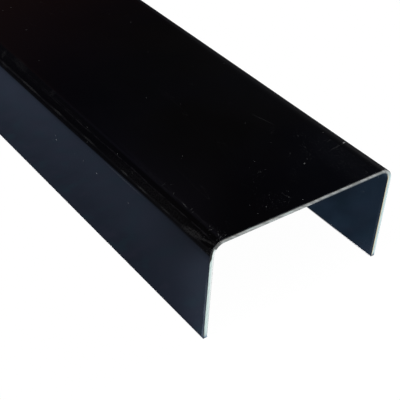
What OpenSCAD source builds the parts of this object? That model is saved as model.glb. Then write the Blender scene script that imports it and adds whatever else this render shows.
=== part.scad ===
// U-channel folded from one flat strip of sheet metal, lying web up on its two flange edges.
// X runs across the web, Y along the stock and Z up. The origin is the middle of the footprint.

/* [Section] */
// Outside width across the web, from flange face to flange face
web_width = 50; // [40:1:80]
// Outside height of both flanges, from their long edges to the top of the web
flange_height = 25.5; // [15:0.5:40]
// Thickness of the sheet, the same in the web, the bends and the flanges
sheet_thickness = 1; // [0.8:0.1:2]
// Radius inside each bend, as the folding tool leaves it
bend_radius = 2.4; // [1:0.1:5]
// Radius that shearing the strip left on the inner corner of each long edge
edge_roll = 0.35; // [0.1:0.05:0.6]

/* [Stock] */
// Length between the two sawn ends
stock_length = 1000; // [300:50:3000]

/* [Hidden] */
outer_radius = bend_radius + sheet_thickness;
web_flat = web_width - 2 * outer_radius;
flange_flat = flange_height - outer_radius;
round_facets = 96;

// Flat leg of one flange, standing on its long edge with the rolled corner facing inwards
module flange() {
    translate([web_width / 2 - sheet_thickness, 0])
        difference() {
            square([sheet_thickness, flange_flat]);
            difference() {
                square(edge_roll);
                translate([edge_roll, edge_roll])
                    circle(r = edge_roll, $fn = round_facets);
            }
        }
}

// Quarter ring that one fold leaves, with both its arcs round the same centre
module bend() {
    translate([web_flat / 2, flange_flat])
        difference() {
            intersection() {
                circle(r = outer_radius, $fn = round_facets);
                square(outer_radius);
            }
            circle(r = bend_radius, $fn = round_facets);
        }
}

// Flat half of the web, from the middle of the section out to the bend
module half_web() {
    translate([0, flange_height - sheet_thickness])
        square([web_flat / 2, sheet_thickness]);
}

// The whole section as it shows on a sawn end, open towards the floor
module section() {
    for (side = [0, 1])
        mirror([side, 0]) {
            flange();
            bend();
            half_web();
        }
}

// The length of stock: the section stands upright and runs along Y between the sawn ends
module u_channel() {
    color([0.02, 0.022, 0.03])
        rotate([90, 0, 0])
            linear_extrude(height = stock_length, center = true)
                section();
}

u_channel();
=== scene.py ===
# A u-channel folded from thin gloss black sheet and sawn bare at both ends, lying web up on a pale floor.
import math

import bmesh
import bpy
from mathutils import Matrix, Vector


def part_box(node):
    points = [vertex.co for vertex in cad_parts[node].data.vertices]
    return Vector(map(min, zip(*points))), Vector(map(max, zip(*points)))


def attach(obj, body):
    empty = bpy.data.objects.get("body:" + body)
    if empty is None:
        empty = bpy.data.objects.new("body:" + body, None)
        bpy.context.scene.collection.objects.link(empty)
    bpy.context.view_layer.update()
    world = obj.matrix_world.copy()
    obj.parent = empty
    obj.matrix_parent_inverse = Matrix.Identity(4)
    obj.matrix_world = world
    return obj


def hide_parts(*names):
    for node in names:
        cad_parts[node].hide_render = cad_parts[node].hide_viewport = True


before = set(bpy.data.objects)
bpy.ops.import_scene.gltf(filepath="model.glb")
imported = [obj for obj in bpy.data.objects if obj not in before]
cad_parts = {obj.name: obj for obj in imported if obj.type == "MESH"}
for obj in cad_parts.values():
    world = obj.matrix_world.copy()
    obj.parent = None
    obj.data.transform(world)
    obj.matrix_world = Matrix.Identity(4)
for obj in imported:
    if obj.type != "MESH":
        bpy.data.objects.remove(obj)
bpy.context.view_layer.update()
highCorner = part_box("u_channel")[1]
mm = 0.001

# Where the photograph was taken from, with the picture 400 pixels wide and high
cameraView = {
    "place": (-0.118166, -0.610016, 0.144421),
    "aimAt": (-0.018339, -0.487384, 0.0255),   # on the top of the web
    "roll": 4.243,                             # degrees, anticlockwise
    "lens": 87.35,                             # mm on a 36 mm sensor
}


def addCamera():
    place = Vector(cameraView["place"])
    look = (Vector(cameraView["aimAt"]) - place).to_track_quat("-Z", "Y").to_matrix()
    turn = look @ Matrix.Rotation(math.radians(cameraView["roll"]), 3, "Z")
    bpy.ops.object.camera_add(location=place, rotation=turn.to_euler())
    camera = bpy.context.object
    camera.name = "camera"
    camera.data.lens = cameraView["lens"]
    camera.data.sensor_width = 36
    camera.data.clip_start = 0.01
    bpy.context.scene.camera = camera
    print("camera:", cameraView["lens"], "mm lens")


# The ways of working that every piece shares

def makeActive(piece):
    bpy.ops.object.select_all(action="DESELECT")
    piece.select_set(True)
    bpy.context.view_layer.objects.active = piece


def pick(piece, kind, test):
    # selects the piece's "verts", "edges" or "faces" that pass the test, and nothing else
    bpy.ops.mesh.select_mode(type={"verts": "VERT", "edges": "EDGE", "faces": "FACE"}[kind])
    bpy.ops.mesh.select_all(action="DESELECT")
    mesh = bmesh.from_edit_mesh(piece.data)
    for part in getattr(mesh, kind):
        if test(part):
            part.select_set(True)
    mesh.select_flush_mode()
    bmesh.update_edit_mesh(piece.data)


def modify(piece, kind, **settings):
    makeActive(piece)
    bpy.ops.object.modifier_add(type=kind)
    modifier = piece.modifiers[-1]
    for name, value in settings.items():
        setattr(modifier, name, value)
    bpy.ops.object.modifier_apply(modifier=modifier.name)


def isAt(value, target, slack=1e-5):
    return abs(value - target) < slack


# The channel: sizes in metres
channel = {
    "sheet": 1.0 * mm,
    "insideRadius": 2.4 * mm,
    "bendSteps": 14,               # facets round each bend
    "webCuts": 35,
    "flangeCuts": 17,
    "lengthCuts": 119,
    "endCuts": [0.25 * mm, 0.8 * mm, 2.5 * mm, 6 * mm],   # extra rings behind each sawn end
    "edgeRoll": 0.08 * mm,         # inner corner of the sheared long edges
    "coatEdge": 0.07 * mm,         # the coat's rounded rim round the sawn ends
    "waveDepth": 0.05 * mm,        # how far the flats stray inwards
    "waveLength": 70 * mm,
    "flatEnd": 25 * mm,            # the waves die out this close to an end
    "rollSegments": 4,
    "rimSegments": 2,
    "smoothAngle": 28,             # degrees
}
outsideRadius = channel["insideRadius"] + channel["sheet"]
webHalf = highCorner.x - outsideRadius              # from the middle to where a bend starts
bendTop = highCorner.z - outsideRadius              # the height of the bend's centre
bendArc = outsideRadius * math.pi / 2
halfLength = highCorner.y


def foldStrip():
    # the sheet's outer skin, folded from the web outwards
    bpy.ops.object.select_all(action="DESELECT")
    bpy.ops.mesh.primitive_plane_add(size=1, location=(0, 0, highCorner.z))
    strip = bpy.context.object
    strip.name = "channel_sheet"
    bpy.ops.object.transform_apply(location=True)
    bpy.ops.object.mode_set(mode="EDIT")
    bpy.ops.transform.resize(value=(2 * webHalf, 2 * halfLength, 1), center_override=(0, 0, highCorner.z))
    for side in (-1, 1):
        pick(strip, "edges", lambda e: all(isAt(v.co.x, side * webHalf) for v in e.verts))
        bpy.ops.mesh.spin(steps=channel["bendSteps"], angle=-side * math.pi / 2,
                          center=(side * webHalf, 0, bendTop), axis=(0, 1, 0))
        bpy.ops.mesh.extrude_region_move(TRANSFORM_OT_translate={"value": (0, 0, -bendTop)})
    bpy.ops.mesh.select_all(action="SELECT")
    bpy.ops.mesh.remove_doubles(threshold=1e-6)
    bpy.ops.mesh.normals_make_consistent(inside=False)
    mesh = bmesh.from_edit_mesh(strip.data)
    if max(mesh.faces, key=lambda f: f.calc_center_median().z).normal.z < 0:
        bpy.ops.mesh.flip_normals()
    return strip


def cutStrip(strip):
    def runsAcross(edge):
        return all(isAt(v.co.z, highCorner.z) for v in edge.verts) and isAt(*[v.co.y for v in edge.verts])

    def runsDown(edge):
        return all(v.co.z < bendTop + 1e-5 for v in edge.verts) and isAt(*[v.co.y for v in edge.verts])

    pick(strip, "edges", runsAcross)
    bpy.ops.mesh.subdivide(number_cuts=channel["webCuts"])
    pick(strip, "edges", runsDown)
    bpy.ops.mesh.subdivide(number_cuts=channel["flangeCuts"])
    for depth in channel["endCuts"]:
        for end in (-1, 1):
            bpy.ops.mesh.select_all(action="SELECT")
            bpy.ops.mesh.bisect(plane_co=(0, end * (halfLength - depth), 0), plane_no=(0, 1, 0))
    pick(strip, "edges", lambda e: abs(e.verts[0].co.y - e.verts[1].co.y) > halfLength)
    bpy.ops.mesh.subdivide(number_cuts=channel["lengthCuts"])
    bpy.ops.object.mode_set(mode="OBJECT")


def waveStrip(strip):
    # long shallow waves, as rolled sheet has, which die out towards the sawn ends
    group = strip.vertex_groups.new(name="awayFromEnds")
    for v in strip.data.vertices:
        away = (halfLength - abs(v.co.y)) / channel["flatEnd"]
        group.add([v.index], min(1, max(0, away)), "REPLACE")
    wave = bpy.data.textures.new("sheetWave", "CLOUDS")
    wave.noise_scale = channel["waveLength"]
    wave.noise_depth = 1
    modify(strip, "DISPLACE", texture=wave, texture_coords="LOCAL", vertex_group="awayFromEnds",
           strength=channel["waveDepth"], mid_level=1)
    strip.vertex_groups.clear()


def thickenStrip(strip):
    modify(strip, "SOLIDIFY", thickness=channel["sheet"], offset=-1, use_even_offset=True,
           use_quality_normals=True, material_offset=1, material_offset_rim=2)
    bpy.ops.object.mode_set(mode="EDIT")
    # the ends and the long edges are cut flat
    for end in (-1, 1):
        pick(strip, "verts", lambda v: isAt(v.co.y, end * halfLength, 0.1 * mm))
        bpy.ops.transform.resize(value=(1, 0, 1), center_override=(0, end * halfLength, 0))
    pick(strip, "verts", lambda v: isAt(v.co.z, 0, 0.1 * mm))
    bpy.ops.transform.resize(value=(1, 1, 0), center_override=(0, 0, 0))

    def onInnerLongEdge(edge):
        return all(v.co.z < 1e-5 and isAt(abs(v.co.x), highCorner.x - channel["sheet"], 0.4 * mm)
                   for v in edge.verts) and not isAt(*[v.co.y for v in edge.verts])

    def onEndRim(edge):
        ends = [f for f in edge.link_faces if abs(f.normal.y) > 0.9]
        return len(ends) == 1

    pick(strip, "edges", onInnerLongEdge)
    bpy.ops.mesh.bevel(offset=channel["edgeRoll"], segments=channel["rollSegments"])
    pick(strip, "edges", onEndRim)
    bpy.ops.mesh.bevel(offset=channel["coatEdge"], segments=channel["rimSegments"], material=0)
    # the sheared long edges, the bends and the flanges get slots of their own
    webStep = 2 * webHalf / (channel["webCuts"] + 1)
    flangeStep = bendTop / (channel["flangeCuts"] + 1)

    def onShearedEdge(face):
        low = face.calc_center_median().z < channel["edgeRoll"]
        return low and face.normal.z < -0.3 and abs(face.normal.y) < 0.5

    def onBend(face):
        middle = face.calc_center_median()
        aroundBend = abs(middle.x) > webHalf - webStep and middle.z > bendTop - flangeStep
        return face.material_index == 0 and aroundBend

    def onFlange(face):
        return face.material_index == 0 and face.calc_center_median().z < bendTop - flangeStep

    for slot, test in ((3, onShearedEdge), (4, onBend), (5, onFlange)):
        strip.active_material_index = slot
        pick(strip, "faces", test)
        bpy.ops.object.material_slot_assign()
    bpy.ops.mesh.select_all(action="SELECT")
    bpy.ops.mesh.normals_make_consistent(inside=False)
    bpy.ops.object.mode_set(mode="OBJECT")
    bpy.ops.object.shade_smooth_by_angle(angle=math.radians(channel["smoothAngle"]))


def unrolled(x, z):
    # how far a point of the section lies along the flattened sheet, and how deep under its outer skin
    side = -1 if x < 0 else 1
    if abs(x) <= webHalf:
        return x, highCorner.z - z
    if z <= bendTop:
        return side * (webHalf + bendArc + bendTop - z), highCorner.x - abs(x)
    across, up = abs(x) - webHalf, z - bendTop
    return side * (webHalf + outsideRadius * math.atan2(across, up)), outsideRadius - math.hypot(across, up)


def mapStrip(strip):
    # the map is in metres: across the flat sheet and along it, or on the cut faces along the cut
    # and into the sheet
    mesh = strip.data
    layer = mesh.uv_layers.new(name="strip") if not mesh.uv_layers else mesh.uv_layers[0]
    layer.name = "strip"
    for face in mesh.polygons:
        slot = face.material_index
        for corner in face.loop_indices:
            point = mesh.vertices[mesh.loops[corner].vertex_index].co
            across, depth = unrolled(point.x, point.z)
            along = point.y + halfLength
            layer.data[corner].uv = {2: (across, depth), 3: (along, depth)}.get(slot, (across, along))


# Materials: a node is added with its settings, and each input is a value or another node's socket

def put(tree, kind, inputs=None, **settings):
    made = tree.nodes.new("ShaderNode" + kind)
    for name, value in settings.items():
        setattr(made, name, value)
    for name, value in (inputs or {}).items():
        if isinstance(value, bpy.types.NodeSocket):
            tree.links.new(value, made.inputs[name])
        else:
            made.inputs[name].default_value = value
    return made


def calc(tree, operation, a, b=0.0, clamp=False):
    return put(tree, "Math", {0: a, 1: b}, operation=operation, use_clamp=clamp).outputs[0]


def ramp(tree, value, low, high, toLow=0.0, toHigh=1.0):
    # turns low..high into toLow..toHigh with soft ends
    made = put(tree, "MapRange", {"Value": value, "From Min": low, "From Max": high,
                                  "To Min": toLow, "To Max": toHigh}, interpolation_type="SMOOTHSTEP")
    return made.outputs[0]


def blend(tree, amount, a, b):
    made = put(tree, "Mix", {"Factor": amount}, data_type="RGBA")
    for name, value in (("A", a), ("B", b)):
        socket = [s for s in made.inputs if s.name == name and s.type == "RGBA"][0]
        if isinstance(value, bpy.types.NodeSocket):
            tree.links.new(value, socket)
        else:
            socket.default_value = (*value, 1)
    return [s for s in made.outputs if s.type == "RGBA"][0]


def noise(tree, vector, scale, detail=2.0, roughness=0.5):
    return put(tree, "TexNoise", {"Vector": vector, "Scale": scale, "Detail": detail,
                                  "Roughness": roughness}).outputs["Fac"]


def stretch(tree, vector, scale, turn=0.0, move=(0, 0, 0)):
    # degrees of turn first, then the scale, so that a pattern can be drawn out along any line
    return put(tree, "Mapping", {"Vector": put(tree, "Mapping", {"Vector": vector, "Rotation": (
        0, 0, math.radians(turn)), "Location": move}).outputs[0], "Scale": scale}).outputs[0]


def startGroup(name, inputs, outputs):
    tree = bpy.data.node_groups.new(name, "ShaderNodeTree")
    for label, value in inputs.items():
        kind = "NodeSocketVector" if isinstance(value, tuple) else "NodeSocketFloat"
        tree.interface.new_socket(label, in_out="INPUT", socket_type=kind).default_value = value
    for label in outputs:
        tree.interface.new_socket(label, in_out="OUTPUT", socket_type="NodeSocketFloat")
    return tree, tree.nodes.new("NodeGroupInput").outputs, tree.nodes.new("NodeGroupOutput").inputs


def groupNode(tree, group, inputs):
    made = tree.nodes.new("ShaderNodeGroup")
    made.node_tree = group
    for name, value in inputs.items():
        if isinstance(value, bpy.types.NodeSocket):
            tree.links.new(value, made.inputs[name])
        else:
            made.inputs[name].default_value = value
    return made.outputs


def dustGroup():
    # round specks, one in some of the cells of a grid
    tree, given, out = startGroup("dustSpecks", {"Vector": (0, 0, 0), "Spacing": 0.003, "Share": 0.1,
                                                 "Size": 0.0001}, ["Mask"])
    perMetre = calc(tree, "DIVIDE", 1.0, given["Spacing"])
    cells = put(tree, "TexVoronoi", {"Vector": given["Vector"], "Scale": perMetre, "Randomness": 1.0},
                voronoi_dimensions="2D")
    colour = put(tree, "SeparateColor", {"Color": cells.outputs["Color"]}).outputs
    chosen = calc(tree, "LESS_THAN", colour["Red"], given["Share"])
    radius = calc(tree, "MULTIPLY", calc(tree, "MULTIPLY", given["Size"], perMetre),
                  calc(tree, "ADD", 0.4, colour["Green"]))
    near = calc(tree, "SUBTRACT", 1.0, calc(tree, "DIVIDE", cells.outputs["Distance"], radius), clamp=True)
    mask = calc(tree, "MULTIPLY", chosen, calc(tree, "MULTIPLY", near, 2.5, clamp=True))
    tree.links.new(mask, out["Mask"])
    return tree


def scratchGroup():
    # hairlines: the thin zero line of a noise drawn out along the scratch, broken up by a coarser one
    tree, given, out = startGroup("hairScratches", {"Vector": (0, 0, 0), "Fineness": 400.0, "Width": 0.02,
                                                    "Share": 0.4}, ["Mask"])
    line = put(tree, "TexNoise", {"Vector": given["Vector"], "Scale": given["Fineness"],
                                  "Detail": 1.0}).outputs[0]
    offLine = calc(tree, "ABSOLUTE", calc(tree, "SUBTRACT", line, 0.5))
    thin = calc(tree, "SUBTRACT", 1.0, calc(tree, "DIVIDE", offLine, given["Width"]), clamp=True)
    patches = put(tree, "TexNoise", {"Vector": given["Vector"], "Scale": calc(
        tree, "MULTIPLY", given["Fineness"], 0.31), "Detail": 2.0}).outputs[0]
    lowest = calc(tree, "SUBTRACT", 0.75, calc(tree, "MULTIPLY", given["Share"], 0.5))
    kept = calc(tree, "MULTIPLY", calc(tree, "SUBTRACT", patches, lowest), 8.0, clamp=True)
    tree.links.new(calc(tree, "MULTIPLY", thin, kept), out["Mask"])
    return tree


def sawGroup():
    # slanting tooth marks of uneven depth on a cut face
    tree, given, out = startGroup("sawMarks", {"Vector": (0, 0, 0), "Pitch": 0.0005, "Slant": 60.0},
                                  ["Height"])
    turned = put(tree, "VectorRotate", {"Vector": given["Vector"], "Angle": calc(
        tree, "RADIANS", given["Slant"])}, rotation_type="Z_AXIS").outputs[0]
    flow = put(tree, "SeparateXYZ", {"Vector": turned}).outputs
    bent = put(tree, "CombineXYZ", {"X": calc(tree, "DIVIDE", flow["X"], given["Pitch"]), "Y": calc(
        tree, "DIVIDE", flow["Y"], calc(tree, "MULTIPLY", given["Pitch"], 9.0))}).outputs[0]
    tree.links.new(noise(tree, bent, 1.0, 3.0, 0.6), out["Height"])
    return tree


# Marks in mm: across the flat sheet, along it, length, width, degrees from across, strength
marks = {
    "web": {
        "specks": [
            (8.8, 11.1, 0.50, 0.24, 20, 0.26), (-0.2, 1.4, 0.26, 0.22, 0, 0.20),
            (-2.1, 3.6, 0.28, 0.22, 0, 0.16), (-0.9, 5.2, 0.24, 0.16, 0, 0.10),
            (-11.1, 2.8, 0.22, 0.18, 0, 0.09), (-10.8, 5.8, 0.22, 0.18, 0, 0.08),
            (14.8, 20.1, 0.22, 0.16, 0, 0.12), (8.7, 15.8, 0.26, 0.20, 0, 0.08),
            (-1.4, 13.7, 0.24, 0.20, 0, 0.10), (-12.1, 27.4, 0.28, 0.20, 0, 0.08),
            (-8.2, 3.6, 0.26, 0.20, 0, 0.12),
            # two scratches come in from the right bend, a long faint one lies askew,
            # and there is a whisker at the left
            (19.7, 12.2, 4.8, 0.14, 6, 0.05), (20.3, 15.1, 2.8, 0.12, 12, 0.04),
            (12.5, 29.7, 6.4, 0.18, -76, 0.018), (-20.6, 20.3, 1.9, 0.12, -26, 0.03),
        ],
        "smearsAndSheen": [
            # a broad painted sheen at the right, and two painted bright bands beside the right bend that run
            # on into it
            (18.0, 8.0, 26, 10, 84, 0.08), (22.6, 2, 34, 2.2, 90, 0.50),
            (22.2, 40, 100, 2.0, 90, 0.12),
        ],
        # where fine dust lies thick
        "dust": [
            (-4.5, 4.2, 10, 5.5, 5, 1.0), (-5.5, 10.5, 9, 1.8, 54, 0.6),
            (-1.8, 13.2, 2.8, 2.6, 0, 0.7), (4.6, 9.3, 9, 2.2, 41, 0.6),
            (8.6, 15.6, 2.4, 2.4, 0, 0.7), (13.8, 16.4, 12, 3.4, 66, 1.0),
            (17.0, 8.0, 20, 9, 85, 0.6), (11.3, 24.8, 4.5, 1.4, 45, 0.5),
        ],
    },
    "bends": {
        "specks": [
            (21.7, 12.4, 1.4, 0.16, 6, 0.09), (22.1, 12.6, 0.8, 0.35, 14, 0.5),
            # whiskers where the left bend meets the web
            (-21.5, 21.0, 1.3, 0.12, 20, 0.035), (-21.6, 17.3, 0.9, 0.14, 40, 0.04),
            (-22.0, 12.9, 2.2, 0.26, 84, 0.028), (-21.6, 11.1, 1.0, 0.12, 8, 0.04),
            (-22.0, 10.2, 0.9, 0.12, 15, 0.03), (-22.2, 3.8, 1.0, 0.16, -14, 0.06),
            (-21.8, 4.7, 0.6, 0.16, 50, 0.05), (-21.9, 1.8, 1.1, 0.18, 65, 0.06),
            (-22.1, 0.9, 0.9, 0.16, 20, 0.06),
            # a painted highlight line low on the bend, broken in stretches, with the coat chipped here and
            # there
            (-25.6, 15.8, 3.4, 0.34, 90, 0.018), (-25.6, 24.2, 3.8, 0.40, 90, 0.024),
            (-25.5, 31.0, 2.6, 0.46, 90, 0.026), (-25.4, 45.4, 5.0, 0.50, 90, 0.018),
            (-25.4, 59.2, 3.6, 0.55, 90, 0.024), (-25.4, 73.0, 10.5, 0.5, 90, 0.020),
            (-25.6, 85.4, 3.4, 0.80, 90, 0.012), (-26.8, 2.8, 0.45, 0.20, 60, 0.08),
            (-24.3, 29.0, 0.7, 0.3, 60, 0.026),
            # a pale line where the bend meets the flange, half on either
            (-27.1, 31.0, 15.0, 0.44, 90, 0.05),
        ],
        "smearsAndSheen": [
            # a painted highlight beside the sawn end
            (-25.2, 6.6, 7.0, 1.4, -82, 1.0), (-24.5, 2.6, 5.4, 0.5, -79, 0.8),
            (-24.8, 22, 36, 2.4, 90, 0.16),
            # the two painted bright bands at the border of the web
            (22.6, 2, 34, 2.2, 90, 0.50), (22.2, 40, 100, 2.0, 90, 0.12),
            # scuffed patches further along
            (-23.6, 88.0, 2.6, 1.4, 30, 0.40), (-22.8, 80.5, 8.0, 2.2, 84, 0.24),
            (-22.9, 65.0, 2.4, 1.8, 60, 0.24), (-23.6, 105, 120, 4.5, 90, 0.07),
        ],
    },
    "flanges": {
        "specks": [
            (-32.1, 41.8, 0.50, 0.40, 60, 0.55), (-33.3, 59.8, 0.50, 0.34, 80, 0.42),
            (-32.3, 60.2, 0.40, 0.34, 0, 0.22), (-32.1, 47.6, 0.40, 0.34, 0, 0.22),
            (-32.1, 28.9, 0.40, 0.34, 0, 0.22), (-32.4, 51.5, 0.40, 0.34, 0, 0.07),
            (-28.4, 10.0, 0.30, 0.24, 0, 0.03), (-34.2, 61.4, 0.3, 0.24, 0, 0.05),
            # the other half of the pale line at the bend
            (-27.1, 31.0, 15.0, 0.44, 90, 0.05),
        ],
        "smearsAndSheen": [
            # painted reflection: lighter, bluer patches on the flanges beside the sawn ends
            (-39, 0, 28, 18, 0, 0.5), (39, 0, 28, 14, 0, 0.5),
        ],
    },
    "inside": {
        "specks": [
            (27.8, 2.6, 0.45, 0.28, 40, 0.20), (34.0, 6.1, 1.0, 0.30, 60, 0.09),
            (32.6, 5.7, 0.8, 0.20, 40, 0.04), (47.4, 12.2, 1.4, 0.40, 70, 0.03),
            (46.8, 10.6, 1.2, 0.30, 50, 0.025),
        ],
        "smearsAndSheen": [
            # painted reflection: lighter patches on the inner faces, most of them on the right flange near
            # the sawn end
            (36, 8, 8, 3, 37, 0.50), (46.5, 10.5, 6, 1.6, 50, 0.70), (40, 4, 9, 2, 37, 0.45),
            (32, 3, 5, 2, 0, 0.35), (47.5, 1.5, 7, 5, 90, 0.80), (48.4, 13.0, 2.6, 1.2, 60, 0.60),
            (-38, 20, 12, 5, 30, 0.30),
        ],
    },
}


def marksGroup(name, listed):
    tree, given, out = startGroup(name, {"Vector": (0, 0, 0)}, ["Mask"])
    total = 0.0
    for across, along, length, width, turn, strength in listed:
        spot = put(tree, "Mapping", {"Vector": given["Vector"], "Location": (across * mm, along * mm, 0),
                                     "Rotation": (0, 0, math.radians(turn)),
                                     "Scale": (length * mm / 2, width * mm / 2, 1)}, vector_type="TEXTURE")
        away = put(tree, "VectorMath", {0: spot.outputs[0]}, operation="LENGTH").outputs["Value"]
        total = calc(tree, "MAXIMUM", total, ramp(tree, away, 1.3, 0.4, 0.0, strength))
    tree.links.new(total, out["Mask"])
    return tree


coat = {
    "cool": (0.0006, 0.0006, 0.0010),
    "warm": (0.0007, 0.0006, 0.0007),
    "roughness": {"web": 0.12, "bends": 0.12, "flanges": 0.12, "inside": 0.17},
    "wornRoughness": 0.35,
    "peelHeight": 0.0000012,       # the orange peel
    "peelSize": 0.0009,
    # haze and painted sheen, and their least and most on the flats and on the bends
    "smearAndSheen": {
        "web": (0.0080, 0.0090, 0.0125),
        "bends": (0.0092, 0.0091, 0.0094),
        "flanges": (0.008, 0.010, 0.013),
        "inside": (0.0080, 0.0095, 0.0110),
    },
    "smearAndSheenRange": [(0.55, 1.15), (0.10, 1.9)],
    # the pale dust colour also paints a highlight line low on the left bend
    # dust: how far apart, how many of the places hold a speck, how big, how strong
    "dust": (0.45, 0.46, 0.46),
    "looseDust": (2.6 * mm, 0.04, 0.09 * mm, 0.12),
    "sawDust": (0.42 * mm, 0.45, 0.07 * mm, 0.08),
    "sawDustReach": (8 * mm, 0.5 * mm),      # gone and thick at these distances from a cut
    "speckGrain": [(0.9, 1.1), (0.3, 1.3)],  # on the flats and on the bends
    "hairlines": (420.0, 0.008, 0.30, 0.008),     # fineness, width, share, strength
    # the scuff beside a cut: where it runs, where it has faded and is full on either side,
    # where it begins on the flanges, and its strength outside and inside
    "scuff": (0.10, 0.12, 0.15),
    "scuffPlace": 0.34 * mm,
    "scuffHalf": (0.40 * mm, 0.08 * mm),
    "scuffStarts": (29 * mm, 41 * mm),
    "scuffStrength": [0.95, 0.25],
    "cutWear": (0.22 * mm, 0.05 * mm, 0.25),      # gone, full and strength right at the cut
    # lines along both bends: from the web's middle, width, gone and full at these distances from an end,
    # strength, all lengths in mm
    "rubbedAndHighlight": (0.032, 0.030, 0.034),
    "rubbedAndHighlightLines": [
        # the first and third rows paint a highlight line along each bend; the other rows are rubbed lines
        (25.4, 0.42, 30, 110, 0.40), (23.7, 0.20, 80, 50, 0.18), (25.6, 0.24, 34, 22, 0.12),
        (21.9, 0.80, 36, 24, 0.06), (23.3, 0.16, 40, 60, 0.08), (26.2, 0.16, 20, 60, 0.08),
    ],
}


def startMaterial(name):
    material = bpy.data.materials.new(name)
    material.use_nodes = True
    tree = material.node_tree
    shader = [n for n in tree.nodes if n.type == "BSDF_PRINCIPLED"][0]
    return material, tree, shader


def lineGroup():
    # a line along a bend, for the rubbed lines and the painted highlight line, broken up, that fades in over
    # a stretch from the nearer end
    tree, given, out = startGroup("rubbedAndHighlightLine", {"Vector": (0, 0, 0), "Distance": 0.025, "Width": 0.0002,
                                                 "Gone": 0.0, "Full": 0.02}, ["Mask"])
    across, along, _ = put(tree, "SeparateXYZ", {"Vector": given["Vector"]}).outputs
    ownRow = put(tree, "CombineXYZ", {"X": given["Distance"], "Y": along}).outputs[0]
    wander = noise(tree, ownRow, 45, 1)
    place = calc(tree, "ADD", given["Distance"], ramp(tree, wander, 0.3, 0.7, -0.08 * mm, 0.08 * mm))
    away = calc(tree, "ABSOLUTE", calc(tree, "SUBTRACT", calc(tree, "ABSOLUTE", across), place))
    line = calc(tree, "SUBTRACT", 1.0, calc(tree, "DIVIDE", away, given["Width"]), clamp=True)
    toEnd = calc(tree, "MINIMUM", along, calc(tree, "SUBTRACT", 2 * halfLength, along))
    shown = put(tree, "MapRange", {"Value": toEnd, "From Min": given["Gone"],
                                   "From Max": given["Full"]}).outputs[0]
    stretched = put(tree, "Mapping", {"Vector": given["Vector"], "Scale": (2400, 380, 1)}).outputs[0]
    broken = ramp(tree, noise(tree, stretched, 1, 3), 0.36, 0.66, 0.05, 1.0)
    tree.links.new(calc(tree, "MULTIPLY", calc(tree, "MULTIPLY", line, shown), broken), out["Mask"])
    return tree


def dustMask(tree, groups, vector, spacing, share, size):
    return groupNode(tree, groups["dust"], {"Vector": vector, "Spacing": spacing, "Share": share,
                                            "Size": size})["Mask"]


def rubbedAndHighlightMask(tree, groups, strip):
    # the lines that handling and the folding tool rubbed along the bends, and a painted highlight line along
    # each bend
    rubbedAndHighlight = 0.0
    for distance, width, gone, full, strength in coat["rubbedAndHighlightLines"]:
        line = groupNode(tree, groups["line"], {"Vector": strip, "Distance": distance * mm,
                                                "Width": width * mm, "Gone": gone * mm,
                                                "Full": full * mm})["Mask"]
        rubbedAndHighlight = calc(tree, "MAXIMUM", rubbedAndHighlight, calc(tree, "MULTIPLY", line, strength))
    return rubbedAndHighlight


def smearAndSheenMask(tree, part, strip):
    # hazy smears and painted sheen, streaky inside
    if part == "bends":
        streaky = noise(tree, stretch(tree, strip, (3600, 2200, 1)), 1, 2, 0.7)
    else:
        streaky = noise(tree, stretch(tree, strip, (1600, 160, 1), 20), 1, 3, 0.6)
    smearsAndSheen = marksGroup(part + "SmearsAndSheen", marks[part]["smearsAndSheen"])
    return calc(tree, "MULTIPLY", groupNode(tree, smearsAndSheen, {"Vector": strip})["Mask"],
                ramp(tree, streaky, 0.35, 0.65, *coat["smearAndSheenRange"][part == "bends"]))


def paleMask(tree, part, groups, strip, toEnd):
    # listed specks, a little dust and hairlines all over, and saw dust beside the cuts
    fineness, hairWidth, hairShare, hairStrength = coat["hairlines"]
    hair = groupNode(tree, groups["scratches"], {"Vector": stretch(tree, strip, (1, 0.12, 1), 8),
                                                 "Fineness": fineness, "Width": hairWidth,
                                                 "Share": hairShare})["Mask"]
    *looseDust, looseStrength = coat["looseDust"]
    *sawDust, sawStrength = coat["sawDust"]
    loose = dustMask(tree, groups, strip, *looseDust)
    fromSaw = dustMask(tree, groups, strip, *sawDust)
    if "dust" in marks[part]:
        patches = marksGroup(part + "Dust", marks[part]["dust"])
        settled = groupNode(tree, patches, {"Vector": strip})["Mask"]
    else:
        settled = ramp(tree, toEnd, *coat["sawDustReach"])
    settled = calc(tree, "MULTIPLY", settled, ramp(tree, noise(tree, strip, 700, 2), 0.35, 0.65))
    fromSaw = calc(tree, "MULTIPLY", fromSaw, settled)
    # on the bends these listed marks include a painted highlight line
    specks = marksGroup(part + "Specks", marks[part]["specks"])
    grain = ramp(tree, noise(tree, strip, 4500, 1), 0.35, 0.6, *coat["speckGrain"][part == "bends"])
    pale = calc(tree, "MULTIPLY", groupNode(tree, specks, {"Vector": strip})["Mask"], grain)
    for mask, strength in ((loose, looseStrength), (hair, hairStrength), (fromSaw, sawStrength)):
        pale = calc(tree, "MAXIMUM", pale, calc(tree, "MULTIPLY", mask, strength))
    return pale


def scuffMask(tree, part, strip, fromMiddle, toEnd):
    # the saw scuffed the coat raggedly beside the cut, most of all low on the flanges
    ragged = noise(tree, stretch(tree, strip, (300, 2600, 1)), 1, 3, 0.7)
    low = ramp(tree, fromMiddle, *coat["scuffStarts"])
    middle = calc(tree, "MULTIPLY", ramp(tree, ragged, 0.3, 0.7, 0.7, 1.3), coat["scuffPlace"])
    offLine = calc(tree, "ABSOLUTE", calc(tree, "SUBTRACT", toEnd, middle))
    strength = ramp(tree, ragged, 0.35, 0.6, 0.25, coat["scuffStrength"][part == "inside"])
    scuff = calc(tree, "MULTIPLY", ramp(tree, offLine, *coat["scuffHalf"]),
                 calc(tree, "MULTIPLY", low, strength))
    gone, full, most = coat["cutWear"]
    atCut = calc(tree, "MULTIPLY", ramp(tree, toEnd, gone, full), ramp(tree, ragged, 0.4, 0.6, 0.0, most))
    return calc(tree, "MAXIMUM", scuff, atCut)


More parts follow.
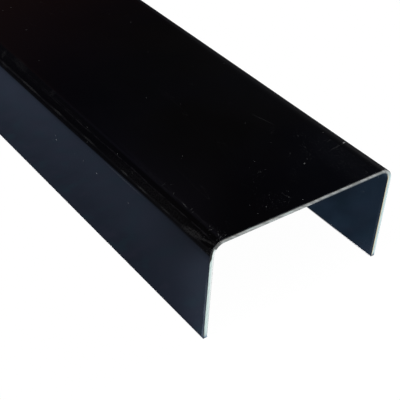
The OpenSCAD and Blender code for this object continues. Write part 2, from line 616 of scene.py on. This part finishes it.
def coatMaterial(part, groups):
    material, tree, shader = startMaterial("coat_" + part)
    strip = put(tree, "UVMap", uv_map="strip").outputs[0]
    place = put(tree, "TexCoord").outputs["Object"]
    across, along, _ = put(tree, "SeparateXYZ", {"Vector": strip}).outputs
    fromMiddle = calc(tree, "ABSOLUTE", across)
    toEnd = calc(tree, "MINIMUM", along, calc(tree, "SUBTRACT", 2 * halfLength, along))

    # the coat's own tint drifts a little between cold and warm
    colour = blend(tree, ramp(tree, noise(tree, place, 28, 3, 0.6), 0.35, 0.65), coat["cool"], coat["warm"])
    rubbedAndHighlight = rubbedAndHighlightMask(tree, groups, strip) if part == "bends" else 0.0
    smearAndSheen = smearAndSheenMask(tree, part, strip)
    pale = paleMask(tree, part, groups, strip, toEnd)
    scuff = scuffMask(tree, part, strip, fromMiddle, toEnd)
    # the rubbed lines, the smears and the pale marks carry painted highlights and reflections besides real
    # wear, haze and dust
    for mask, tint in ((rubbedAndHighlight, coat["rubbedAndHighlight"]), (smearAndSheen, coat["smearAndSheen"][part]), (pale, coat["dust"]),
                       (scuff, coat["scuff"])):
        colour = blend(tree, mask, colour, tint)

    wornAndHighlight = calc(tree, "MAXIMUM", calc(tree, "MAXIMUM", rubbedAndHighlight, pale), scuff)
    uneven = ramp(tree, noise(tree, place, 35, 3, 0.6), 0.3, 0.7, -0.03, 0.05)
    gloss = calc(tree, "ADD", calc(tree, "ADD", coat["roughness"][part], uneven),
                 calc(tree, "MULTIPLY", wornAndHighlight, coat["wornRoughness"]), clamp=True)
    gloss = calc(tree, "ADD", gloss, calc(tree, "MULTIPLY", smearAndSheen, 0.08), clamp=True)
    peel = noise(tree, place, 1 / coat["peelSize"], 2)
    bump = put(tree, "Bump", {"Strength": 1.0, "Distance": coat["peelHeight"], "Height": calc(
        tree, "ADD", peel, calc(tree, "MULTIPLY", wornAndHighlight, 3.0))})
    tree.links.new(colour, shader.inputs["Base Color"])
    tree.links.new(gloss, shader.inputs["Roughness"])
    tree.links.new(bump.outputs[0], shader.inputs["Normal"])
    return material


sawnMetal = {
    "flange": (0.70, 0.82, 0.80),
    "web": (0.46, 0.46, 0.46),
    "groove": (0.24, 0.24, 0.24),
    "grooveShare": (0.85, 0.25),               # on the web and on the flanges
    "pitch": 0.55 * mm,
    "slant": 62.0,                             # degrees of the tooth marks from the sheet's own direction
    "depth": 0.03 * mm,
    "roughness": 0.42,
    # below, each effect is gone at the first and full at the second of two depths under the outer
    # skin, or of two places across the sheet, from the web's middle
    "warm": (0.80, 0.66, 0.44),                # the inner side of the right flange
    "warmDepth": (0.62 * mm, 0.85 * mm),
    "cold": (0.72, 0.92, 0.97),                # its outer side
    "coldDepth": (0.45 * mm, 0.15 * mm),
    "shade": (0.050, 0.070, 0.090),            # the inner side of the web's right half
    "shadeDepth": (0.56 * mm, 0.92 * mm),
    "shadeFrom": (-0.5 * mm, 5 * mm),
    "burr": (1.0, 1.0, 1.0),                   # the inner side of the left flange, near the bend
    "burrDepth": (0.45 * mm, 0.75 * mm),
    "burrFrom": (-24.6 * mm, -25.2 * mm),
    "burrFades": (-45 * mm, -33 * mm),
    "smudge": (0.16, 0.16, 0.16),              # where the left bend starts
    "smudgeFrom": (-22.0 * mm, -23.4 * mm),
    "smudgeTo": (-25.0 * mm, -24.6 * mm),
    "draggedCoat": (0.012, 0.011, 0.010),      # over the outer side of the left bend
    "dragReach": (0.16 * mm, 0.48 * mm),       # how deep it reaches, at first and where it is widest
    "dragFrom": (-24.2 * mm, -25.0 * mm),
    "dragWidens": (-24.2 * mm, -26.2 * mm),
    "dragTo": (-28.6 * mm, -27.2 * mm),
    "dullDepth": (0.5 * mm, 0.05 * mm),        # the corner of the left long edge
    "dullFrom": (-45.0 * mm, -48.0 * mm),
    "primer": (0.13, 0.10, 0.07),              # a thin line under the coat of the web
    "primerReach": (0.30 * mm, 0.21 * mm),     # on the left half and on the right one
    "primerFull": 0.07 * mm,
    "primerThins": (-10 * mm, 0.0),
}


def sawnMaterial(groups):
    material, tree, shader = startMaterial("sawnEnd")
    strip = put(tree, "UVMap", uv_map="strip").outputs[0]
    across, depth, _ = put(tree, "SeparateXYZ", {"Vector": strip}).outputs
    fromMiddle = calc(tree, "ABSOLUTE", across)

    def both(first, second):
        return calc(tree, "MULTIPLY", first, second)

    def byDepth(name, *levels):
        return ramp(tree, depth, *sawnMetal[name], *levels)

    def byPlace(name, *levels):
        return ramp(tree, across, *sawnMetal[name], *levels)

    onFlange = ramp(tree, fromMiddle, webHalf + 0.3 * bendArc, webHalf + bendArc)
    colour = blend(tree, onFlange, sawnMetal["web"], sawnMetal["flange"])
    teeth = groupNode(tree, groups["saw"], {"Vector": strip, "Pitch": sawnMetal["pitch"],
                                            "Slant": sawnMetal["slant"]})["Height"]
    groove = both(ramp(tree, teeth, 0.56, 0.40), ramp(tree, onFlange, 0.0, 1.0, *sawnMetal["grooveShare"]))
    colour = blend(tree, groove, colour, sawnMetal["groove"])
    # a burnished patch here and there
    bright = ramp(tree, noise(tree, stretch(tree, strip, (160, 900, 1)), 1, 2), 0.55, 0.72)
    colour = blend(tree, both(bright, 0.6), colour, sawnMetal["flange"])
    # the right flange is warm on its inner side and cold on its outer, the left one has a bright burr inside
    onRight = both(onFlange, calc(tree, "GREATER_THAN", across, 0.0))
    colour = blend(tree, both(onRight, byDepth("warmDepth")), colour, sawnMetal["warm"])
    colour = blend(tree, both(onRight, byDepth("coldDepth")), colour, sawnMetal["cold"])
    shade = both(byDepth("shadeDepth"), both(byPlace("shadeFrom"), ramp(tree, onFlange, 0.8, 0.2)))
    colour = blend(tree, shade, colour, sawnMetal["shade"])
    burr = both(byPlace("burrFrom"), byPlace("burrFades", 0.25, 1.0))
    colour = blend(tree, both(burr, byDepth("burrDepth")), colour, sawnMetal["burr"])
    # the saw smudged the start of the left bend and dragged black coat over the outer side of the rest
    drag = noise(tree, stretch(tree, strip, (700, 2500, 1)), 1, 3)
    smudge = both(byPlace("smudgeFrom"), byPlace("smudgeTo"))
    colour = blend(tree, both(smudge, ramp(tree, drag, 0.25, 0.55, 0.7, 1.0)), colour, sawnMetal["smudge"])
    reach = both(byPlace("dragWidens", *sawnMetal["dragReach"]), byPlace("dragTo"))
    covered = ramp(tree, calc(tree, "SUBTRACT", reach, depth), -0.05 * mm, 0.08 * mm)
    colour = blend(tree, both(covered, byPlace("dragFrom")), colour, sawnMetal["draggedCoat"])
    # the corner of the left long edge is dull
    dull = both(byPlace("dullFrom"), byDepth("dullDepth"))
    colour = blend(tree, both(dull, 0.8), colour, sawnMetal["groove"])
    # the primer shows as a thin warm line under the outer skin of the web, less so down the flanges
    primerReach = byPlace("primerThins", *sawnMetal["primerReach"])
    primer = both(ramp(tree, depth, primerReach, sawnMetal["primerFull"]),
                  both(ramp(tree, drag, 0.3, 0.6, 0.55, 1.0), ramp(tree, onFlange, 0.3, 0.9, 1.0, 0.15)))
    colour = blend(tree, primer, colour, sawnMetal["primer"])
    bump = put(tree, "Bump", {"Strength": 1.0, "Distance": sawnMetal["depth"], "Height": teeth})
    tree.links.new(colour, shader.inputs["Base Color"])
    tree.links.new(calc(tree, "ADD", sawnMetal["roughness"], both(smudge, 0.2)), shader.inputs["Roughness"])
    shader.inputs["Metallic"].default_value = 1.0
    tree.links.new(bump.outputs[0], shader.inputs["Normal"])
    return material


shearedMetal = {
    "burnished": (0.62, 0.64, 0.65),
    "torn": (0.34, 0.35, 0.36),
    "tornDepth": (0.40 * mm, 0.55 * mm),
    "raggedness": 0.3 * mm,
    "pitch": 0.25 * mm,
    "slant": 88.0,
    "depth": 0.02 * mm,
    "dirt": (0.1, 0.1, 0.1),
    "dirtSpecks": (1.2 * mm, 0.1, 0.1 * mm),   # how far apart, how many of the places, how big
    "roughness": (0.3, 0.6),                   # burnished and torn
}


def shearedMaterial(groups):
    material, tree, shader = startMaterial("shearedEdge")
    strip = put(tree, "UVMap", uv_map="strip").outputs[0]
    depth = put(tree, "SeparateXYZ", {"Vector": strip}).outputs["Y"]
    # the blade burnished the outer third and tore the rest
    ragged = noise(tree, stretch(tree, strip, (400, 400, 1)), 1, 3, 0.6)
    border = calc(tree, "ADD", depth, calc(tree, "MULTIPLY", ragged, shearedMetal["raggedness"]))
    torn = ramp(tree, border, *shearedMetal["tornDepth"])
    blade = groupNode(tree, groups["saw"], {"Vector": strip, "Pitch": shearedMetal["pitch"],
                                            "Slant": shearedMetal["slant"]})["Height"]
    dirt = dustMask(tree, groups, strip, *shearedMetal["dirtSpecks"])
    grooves = calc(tree, "MULTIPLY", ramp(tree, blade, 0.5, 0.3), 0.4)
    colour = blend(tree, torn, shearedMetal["burnished"], shearedMetal["torn"])
    colour = blend(tree, grooves, colour, shearedMetal["torn"])
    colour = blend(tree, dirt, colour, shearedMetal["dirt"])
    bump = put(tree, "Bump", {"Strength": 1.0, "Distance": shearedMetal["depth"], "Height": blade})
    tree.links.new(colour, shader.inputs["Base Color"])
    tree.links.new(ramp(tree, torn, 0.0, 1.0, *shearedMetal["roughness"]), shader.inputs["Roughness"])
    tree.links.new(bump.outputs[0], shader.inputs["Normal"])
    shader.inputs["Metallic"].default_value = 1.0
    return material


def finishStrip(strip):
    groups = {"dust": dustGroup(), "scratches": scratchGroup(), "saw": sawGroup(), "line": lineGroup()}
    finishes = [
        coatMaterial("web", groups),
        coatMaterial("inside", groups),
        sawnMaterial(groups),
        shearedMaterial(groups),
        coatMaterial("bends", groups),
        coatMaterial("flanges", groups),
    ]
    for slot, finish in zip(strip.material_slots, finishes):
        slot.material = finish
    print("finishes:", ", ".join(finish.name for finish in finishes))


def buildChannel():
    strip = foldStrip()
    for _ in range(6):
        strip.data.materials.append(None)
    cutStrip(strip)
    waveStrip(strip)
    thickenStrip(strip)
    mapStrip(strip)
    finishStrip(strip)
    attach(strip, "root")
    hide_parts("u_channel")
    print("channel:", len(strip.data.polygons), "faces")


# The studio: directions are from the channel, sizes in metres
studio = {
    "floorSize": 12.0,
    "floorPaint": (0.9, 0.9, 0.9),
    "floorShade": 0.013,           # share of real shading that the camera sees on the floor
    "footShade": 0.9,              # and right beside the flanges, inside
    "footShadeWidth": 0.35 * mm,
    # what the gloss mirrors of the floor: under the channel, at its foot, beside it, further off
    "floorUnder": (0.098, 0.175, 0.303),
    "floorFoot": (0.085, 0.108, 0.170),
    "floorBeside": (0.128, 0.160, 0.247),
    "floorFar": (0.020, 0.020, 0.024),
    # the fade to the far colour: how far out it lies at the sawn ends, further in and far from them,
    # half its width and how many times narrower it gets, and where along the channel it changes
    "fadePlaces": (0.041, 0.052, 0.0453),
    "fadeHalf": 0.014,
    "fadeNarrows": 3.7,
    "fadeMovesOut": (22 * mm, 50 * mm),
    "fadeMovesBack": (58 * mm, 88 * mm),
    "besideFull": 40 * mm,
    "endGlow": (0.55, 1.25),               # how much brighter the floor is at a sawn end, inside and outside
    "glowReach": 0.008,
    "glowSlant": 1.24,                     # how much further in it lies for each metre off the flanges
    "farGlow": 0.09,                       # and far from the ends, beside the channel
    "farGlowAside": (30 * mm, 36 * mm),
    "farGlowAlong": (75 * mm, 110 * mm),
    "footGlow": 0.25,                      # and inside, near the flanges
    "footGlowAside": (14 * mm, 22 * mm),
    "mottle": (2.0, 0.35),                 # how uneven it is, inside and outside
    "mottleScale": 160,
    "teal": (0.075, 0.190, 0.250),         # tints that drift over it
    "rose": (0.150, 0.150, 0.240),
    "tintShare": 0.30,
    "tintScale": 240,
    "dark": (0.013, 0.0115, 0.016),
    "horizon": (0.03, 0.03, 0.03),
    # direction, where the patch is full, where it has faded out, colour
    "patches": [
        ((0.40, 0.79, 0.46), 0.997, 0.970, (0.048, 0.022, 0.018)),
        ((0.50, 0.64, 0.58), 0.995, 0.960, (0.009, 0.008, 0.014)),
        ((0.47, 0.655, 0.592), 0.9994, 0.9965, (0.042, 0.038, 0.056)),
        ((0.53, 0.68, 0.51), 0.9990, 0.993, (0.014, 0.014, 0.014)),
        ((0.65, 0.52, 0.55), 0.9990, 0.994, (0.010, 0.012, 0.020)),
        ((0.76, 0.57, 0.31), 0.9850, 0.955, (0.048, 0.049, 0.054)),
        ((0.86, 0.42, 0.30), 0.9925, 0.965, (0.080, 0.080, 0.086)),
        ((0.26, 0.62, 0.74), 0.9950, 0.975, (0.040, 0.038, 0.058)),
    ],
    # place, aim, width, height, watts
    "softboxes": [
        ((-0.35, -0.75, 1.30), (0, -0.2, 0), 1.0, 0.8, 26),
        ((1.60, -0.20, 0.90), (0, -0.1, 0), 0.3, 1.0, 9),
        ((-1.70, -0.40, 0.80), (0, -0.1, 0), 0.3, 0.9, 8),
    ],
    "cardGap": 0.0003,             # from a sawn end to the white card in front of it
    "cardSize": 0.30,
    "cardLift": 0.0001,            # off the floor
    "cardGlow": ((0.95, 1, 0.99), 0.9),
}


def mirroredFloor(tree, place, aside, fromEnd):
    # what the gloss mirrors of the floor: its colour and how bright it is
    foot, side = highCorner.x - channel["sheet"], highCorner.x
    atEnds, further, farOff = studio["fadePlaces"]
    fadePlace = calc(tree, "ADD", ramp(tree, fromEnd, *studio["fadeMovesOut"], atEnds, further),
                     ramp(tree, fromEnd, *studio["fadeMovesBack"], 0.0, farOff - further))
    fade = calc(tree, "MULTIPLY", calc(tree, "SUBTRACT", aside, fadePlace),
                ramp(tree, fromEnd, *studio["fadeMovesBack"], 1.0, studio["fadeNarrows"]))
    fade = calc(tree, "ADD", fade, ramp(tree, noise(tree, place, 40, 3), 0.2, 0.8, -0.004, 0.004))
    colour = blend(tree, ramp(tree, aside, 0.92 * side, side), studio["floorUnder"], studio["floorFoot"])
    colour = blend(tree, ramp(tree, aside, side, studio["besideFull"]), colour, studio["floorBeside"])
    tinted = noise(tree, place, studio["tintScale"], 2)
    for name, none, most in (("teal", 0.50, 0.72), ("rose", 0.46, 0.28)):
        colour = blend(tree, ramp(tree, tinted, none, most, 0.0, studio["tintShare"]), colour, studio[name])
    faded = ramp(tree, fade, -studio["fadeHalf"], studio["fadeHalf"])
    colour = blend(tree, faded, colour, studio["floorFar"])

    # the light reaches in from the ends of the channel and fades along it
    offSide = calc(tree, "ABSOLUTE", calc(tree, "SUBTRACT", aside, side))
    reach = calc(tree, "SUBTRACT", fromEnd, calc(tree, "MULTIPLY", offSide, studio["glowSlant"]))
    near = calc(tree, "EXPONENT", calc(tree, "DIVIDE", reach, -studio["glowReach"]))
    near = calc(tree, "MINIMUM", near, 1.0)
    outside = (foot, 2 * side - foot)
    atEnd = calc(tree, "MULTIPLY", near, ramp(tree, aside, *outside, *studio["endGlow"]))
    atFar = calc(tree, "MULTIPLY", ramp(tree, aside, *studio["farGlowAside"], 0.0, studio["farGlow"]),
                 ramp(tree, fromEnd, *studio["farGlowAlong"]))
    mottle = calc(tree, "SUBTRACT", noise(tree, place, studio["mottleScale"], 4, 0.6), 0.5)
    mottle = calc(tree, "MULTIPLY", mottle, ramp(tree, aside, *outside, *studio["mottle"]))
    nearFoot = calc(tree, "MULTIPLY", ramp(tree, aside, *studio["footGlowAside"], 0.0, studio["footGlow"]),
                    calc(tree, "LESS_THAN", aside, side))
    glow = calc(tree, "ADD", mottle, 1.0)
    more = calc(tree, "ADD", calc(tree, "ADD", atEnd, nearFoot), atFar)
    return put(tree, "Emission", {"Color": colour, "Strength": calc(tree, "ADD", glow, more)}).outputs[0]


def buildFloor():
    bpy.ops.mesh.primitive_plane_add(size=studio["floorSize"], location=(0, 0, 0))
    floor = bpy.context.object
    floor.name = "floor"
    material, tree, shader = startMaterial("paleFloor")
    shader.inputs["Roughness"].default_value = 0.9
    shader.inputs["Specular IOR Level"].default_value = 0.0
    shader.inputs["Base Color"].default_value = (*studio["floorPaint"], 1)
    place = put(tree, "TexCoord").outputs["Object"]
    x, y, _ = put(tree, "SeparateXYZ", {"Vector": place}).outputs
    aside = calc(tree, "ABSOLUTE", x)
    fromEnd = calc(tree, "SUBTRACT", halfLength, calc(tree, "ABSOLUTE", y))
    # white to the camera, with a hint of shadow, most of it along the inner foot of both flanges,
    # and slate blue wherever the gloss mirrors it
    foot = highCorner.x - channel["sheet"]
    under = calc(tree, "MULTIPLY", calc(tree, "LESS_THAN", aside, highCorner.x),
                 calc(tree, "GREATER_THAN", fromEnd, 0.0))
    atFoot = calc(tree, "MULTIPLY", ramp(tree, aside, foot - studio["footShadeWidth"], foot), under)
    whiteShare = ramp(tree, atFoot, 0.0, 1.0, 1 - studio["floorShade"], 1 - studio["footShade"])
    white = put(tree, "Emission", {"Color": (1, 1, 1, 1), "Strength": 1.0}).outputs[0]
    toCamera = put(tree, "MixShader", {0: whiteShare, 1: shader.outputs[0], 2: white}).outputs[0]
    toGloss = mirroredFloor(tree, place, aside, fromEnd)
    seen = put(tree, "LightPath").outputs["Is Camera Ray"]
    shown = put(tree, "MixShader", {0: seen, 1: toGloss, 2: toCamera}).outputs[0]
    output = [n for n in tree.nodes if n.type == "OUTPUT_MATERIAL"][0]
    tree.links.new(shown, output.inputs["Surface"])
    floor.data.materials.append(material)


def buildCards():
    # white cards lie before the sawn ends, so that the bare metal has something bright to mirror
    material, tree, shader = startMaterial("whiteCard")
    shader.inputs["Base Color"].default_value = (0, 0, 0, 1)
    tint, strength = studio["cardGlow"]
    shader.inputs["Emission Color"].default_value = (*tint, 1)
    shader.inputs["Emission Strength"].default_value = strength
    for end in (-1, 1):
        middle = end * (halfLength + studio["cardGap"] + studio["cardSize"] / 2)
        bpy.ops.mesh.primitive_plane_add(size=studio["cardSize"], location=(0, middle, studio["cardLift"]))
        card = bpy.context.object
        card.name = "card"
        card.data.materials.append(material)
        card.visible_camera = False
        card.visible_shadow = False


def addSoftboxes():
    for number, (place, aim, width, height, watts) in enumerate(studio["softboxes"]):
        turn = (Vector(aim) - Vector(place)).to_track_quat("-Z", "Y").to_euler()
        bpy.ops.object.light_add(type="AREA", location=place, rotation=turn)
        box = bpy.context.object
        box.name = f"softbox_{number}"
        box.data.shape = "RECTANGLE"
        box.data.size, box.data.size_y = width, height
        box.data.energy = watts
        box.visible_camera = False


def paintRoom():
    world = bpy.data.worlds.new("room")
    bpy.context.scene.world = world
    world.use_nodes = True
    tree = world.node_tree
    tree.nodes.clear()
    direction = put(tree, "TexCoord").outputs["Generated"]
    height = put(tree, "SeparateXYZ", {"Vector": direction}).outputs["Z"]
    colour = blend(tree, ramp(tree, height, 0.06, 0.005), studio["dark"], studio["horizon"])
    for toward, full, gone, tint in studio["patches"]:
        facing = put(tree, "VectorMath", {0: direction, 1: Vector(toward).normalized()},
                     operation="DOT_PRODUCT").outputs["Value"]
        colour = blend(tree, ramp(tree, facing, gone, full), colour, tint)
    # white to the camera, dark with its patches to the gloss
    seen = put(tree, "LightPath").outputs["Is Camera Ray"]
    toGloss = put(tree, "Background", {"Color": colour}).outputs[0]
    toCamera = put(tree, "Background", {"Color": (1, 1, 1, 1)}).outputs[0]
    shown = put(tree, "MixShader", {0: seen, 1: toGloss, 2: toCamera}).outputs[0]
    output = put(tree, "OutputWorld")
    tree.links.new(shown, output.inputs["Surface"])
    bpy.context.scene.view_settings.view_transform = "Standard"


addCamera()
buildChannel()
buildFloor()
buildCards()
addSoftboxes()
paintRoom()
print("studio: floor, cards and", len(studio["softboxes"]), "softboxes")
